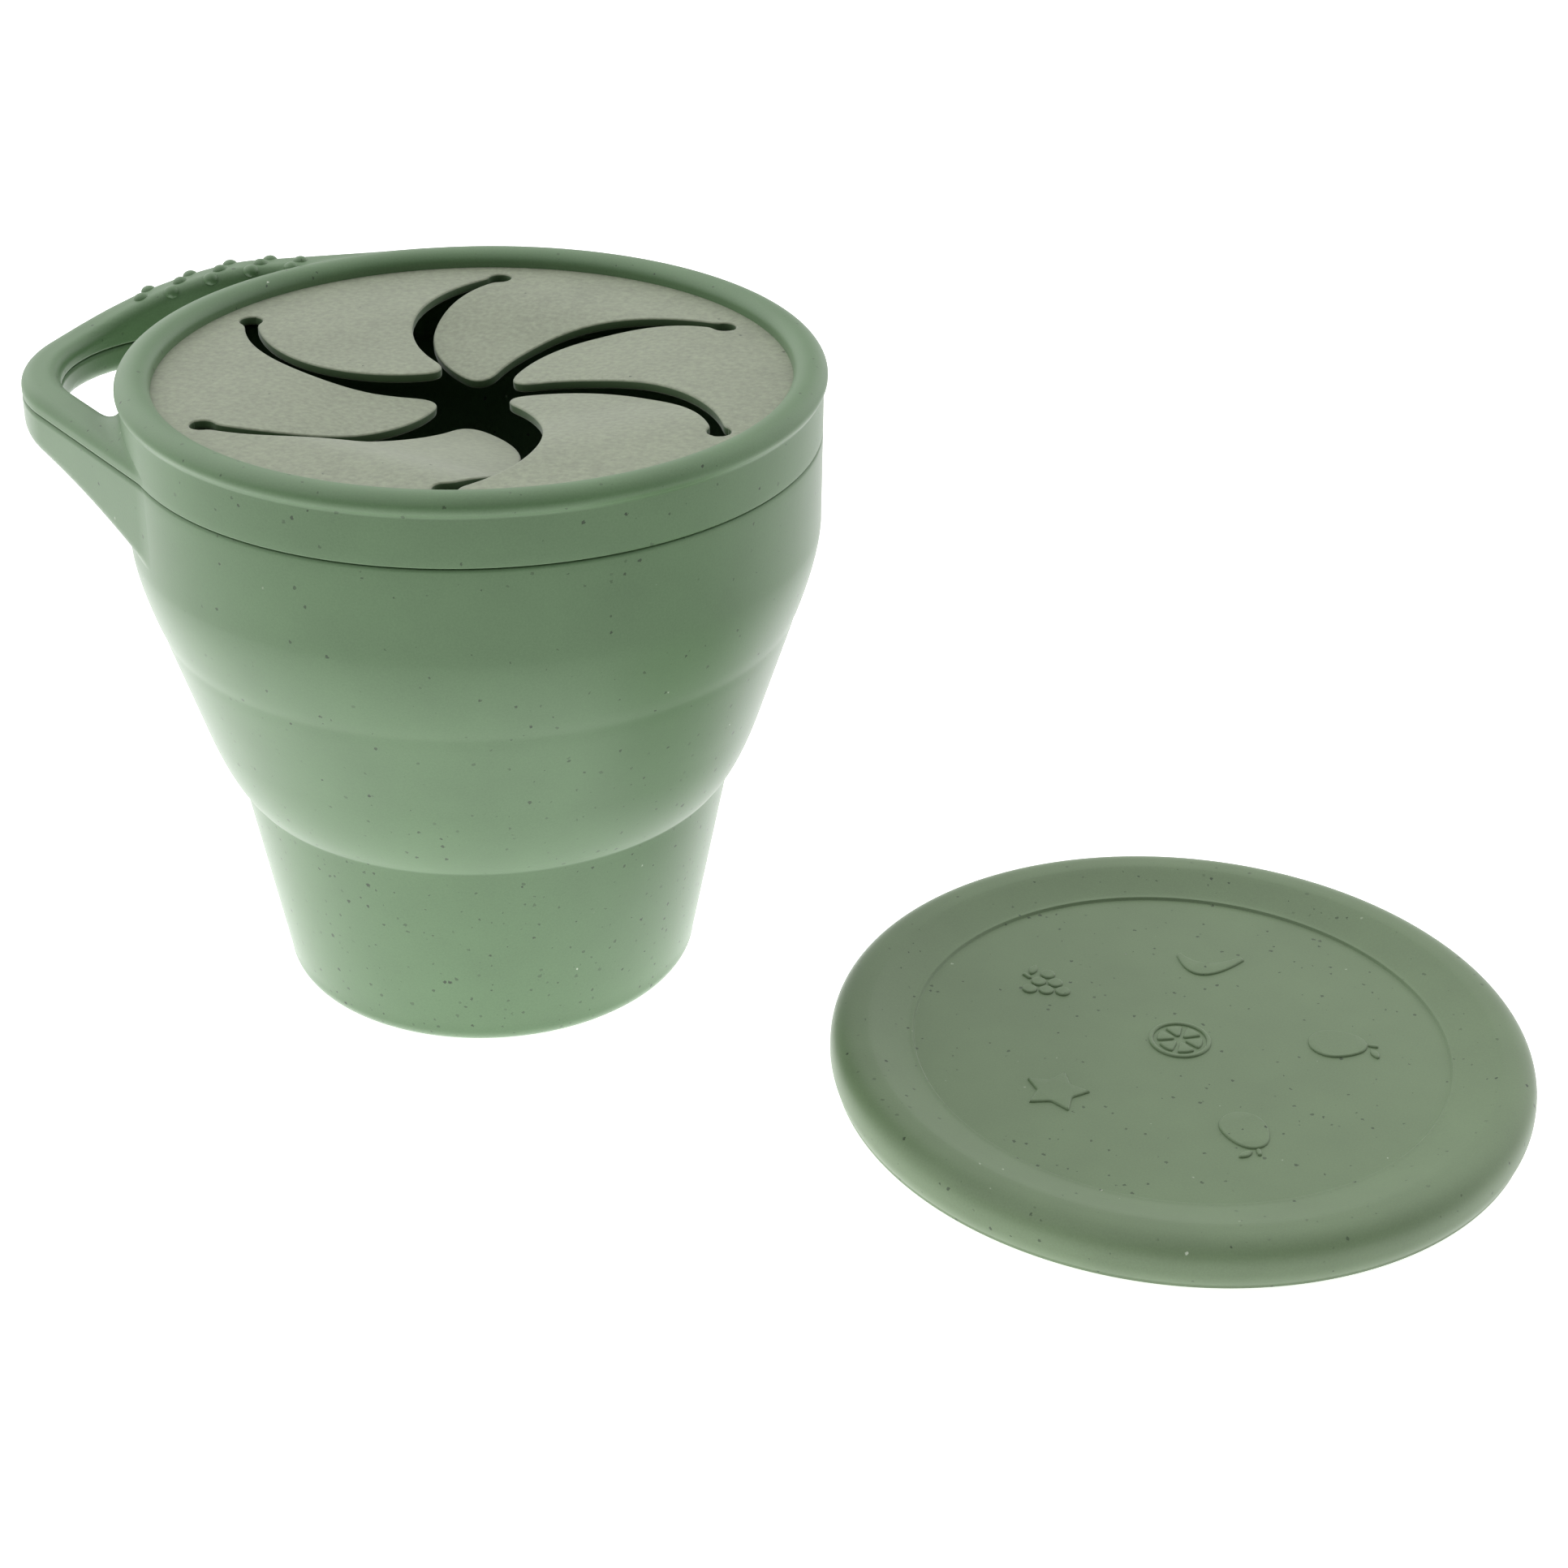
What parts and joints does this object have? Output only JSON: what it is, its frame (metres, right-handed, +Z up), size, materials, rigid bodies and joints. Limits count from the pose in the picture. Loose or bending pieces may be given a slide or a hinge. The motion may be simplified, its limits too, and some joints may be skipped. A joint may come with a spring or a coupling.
{
  "type": "toddler snack container",
  "caption": "Collapsible soft cup with a fold wall, a slit lid of flexing petals with a loop handle, and a loose round dust cover lying beside it.",
  "frame": {"origin": "on the cup's axis, at the underside of its foot, on the surface that the cup and the cover stand on", "axes": "+Z up along the cup's axis; -X towards the handle; +X towards the dust cover; Y along the handle's width"},
  "size_m": [0.2102, 0.0922, 0.0881],
  "materials": {
    "cup_silicone": "matte sage-green silicone with sparse dark flecks",
    "lid_silicone": "matte sage-green silicone with sparse dark flecks",
    "membrane_silicone": "fine-grained matte grey-green silicone",
    "cover_silicone": "satin sage-green silicone with sparse flecks"
  },
  "bodies": {
    "base": {"cup_base": "cup_silicone", "fold_wall": "cup_silicone"},
    "upper": {"cup_upper": "cup_silicone", "handle_lower": "cup_silicone"},
    "lid": {"lid_ring": "lid_silicone", "handle_upper": "lid_silicone", "lid_membrane": "membrane_silicone"},
    "petal_1": {"petal_1": "membrane_silicone"},
    "petal_2": {"petal_2": "membrane_silicone"},
    "petal_3": {"petal_3": "membrane_silicone"},
    "petal_4": {"petal_4": "membrane_silicone"},
    "petal_5": {"petal_5": "membrane_silicone"},
    "petal_6": {"petal_6": "membrane_silicone"},
    "cover": {"dust_cover": "cover_silicone", "cover_motifs": "cover_silicone"}
  },
  "joints": [
    {"name": "collapse", "type": "slide", "parent": "base", "child": "upper", "axis": [0, 0, -1], "range_m": [0, 0.042], "deforming": ["fold_wall"]},
    {"name": "lid_lift", "type": "slide", "parent": "upper", "child": "lid", "axis": [0, 0, 1], "range_m": [0, 0.04]},
    {"name": "petal_1_flex", "type": "hinge", "parent": "lid", "child": "petal_1", "pos_m": [0.03027, 0.01078, 0.08475], "axis": [-0.3355, 0.9421, 0], "range_deg": [-50, 45], "stiffness_Nm_per_rad": 0.02},
    {"name": "petal_2_flex", "type": "hinge", "parent": "lid", "child": "petal_2", "pos_m": [0.0058, 0.0316, 0.08475], "axis": [-0.9836, 0.1805, 0], "range_deg": [-50, 45], "stiffness_Nm_per_rad": 0.02},
    {"name": "petal_3_flex", "type": "hinge", "parent": "lid", "child": "petal_3", "pos_m": [-0.02447, 0.02082, 0.08475], "axis": [-0.6481, -0.7615, 0], "range_deg": [-50, 45], "stiffness_Nm_per_rad": 0.02},
    {"name": "petal_4_flex", "type": "hinge", "parent": "lid", "child": "petal_4", "pos_m": [-0.03027, -0.01078, 0.08475], "axis": [0.3355, -0.9421, 0], "range_deg": [-50, 45], "stiffness_Nm_per_rad": 0.02},
    {"name": "petal_5_flex", "type": "hinge", "parent": "lid", "child": "petal_5", "pos_m": [-0.0058, -0.0316, 0.08475], "axis": [0.9836, -0.1805, 0], "range_deg": [-50, 45], "stiffness_Nm_per_rad": 0.02},
    {"name": "petal_6_flex", "type": "hinge", "parent": "lid", "child": "petal_6", "pos_m": [0.02447, -0.02082, 0.08475], "axis": [0.6481, 0.7615, 0], "range_deg": [-50, 45], "stiffness_Nm_per_rad": 0.02},
    {"name": "cover_lift", "type": "slide", "parent": "base", "child": "cover", "axis": [0, 0, 1], "range_m": [0, 0.1]}
  ]
}
